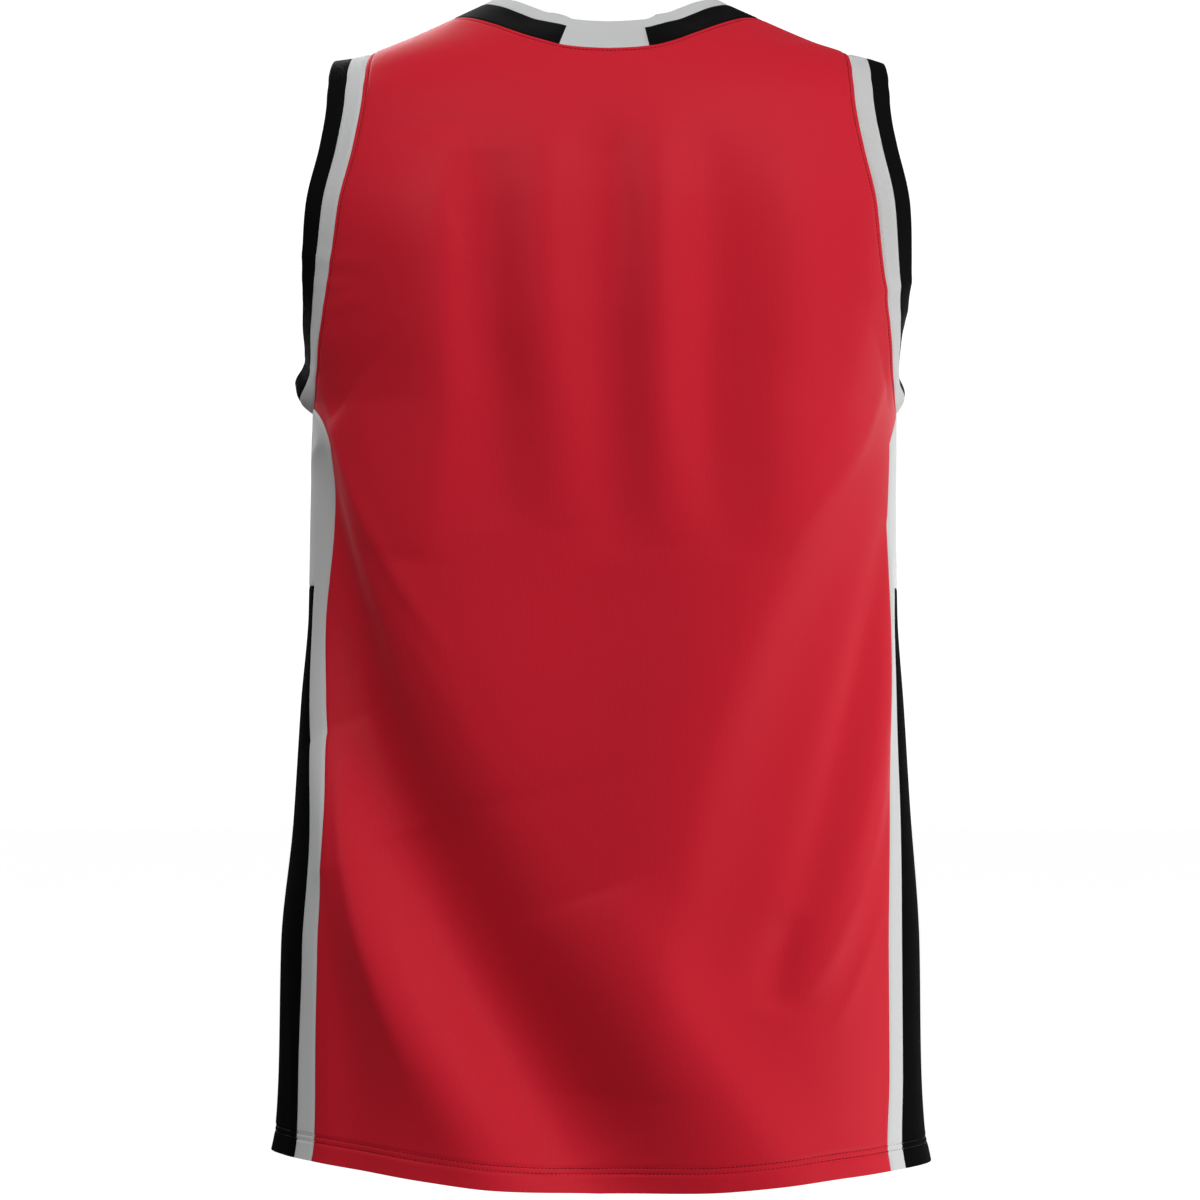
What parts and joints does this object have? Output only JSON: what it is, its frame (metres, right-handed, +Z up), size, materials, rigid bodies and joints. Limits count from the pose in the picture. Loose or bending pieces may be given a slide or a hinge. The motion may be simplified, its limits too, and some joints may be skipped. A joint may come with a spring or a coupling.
{
  "type": "basketball jersey",
  "caption": "Sleeveless basketball jersey, filled out as if worn and hollow, with banded neck and armholes and contrasting side panels.",
  "frame": {"origin": "midway between the two high shoulder points, where the shoulder seams meet the neck band and the wearer's shoulders carry the jersey", "axes": "+Z up, the back faces +Y, the chest faces -Y, the wearer's left side is at +X"},
  "size_m": [0.4359, 0.2807, 0.7753],
  "materials": {
    "body_knit": "satin red polyester knit, smooth face",
    "side_knit_white": "white polyester knit",
    "side_knit_black": "black polyester knit",
    "rib_white": "white rib knit",
    "rib_black": "black rib knit"
  },
  "bodies": {
    "root": {"back_panel": "body_knit", "front_panel": "body_knit", "side_panel_left": "side_knit_white", "side_panel_right": "side_knit_white", "side_insert_left": "side_knit_black", "side_insert_right": "side_knit_black", "armhole_strip_left": "rib_white", "armhole_strip_right": "rib_white", "armhole_edge_left": "rib_black", "armhole_edge_right": "rib_black", "neck_band_white": "rib_white", "neck_band_black": "rib_black"}
  },
  "joints": []
}
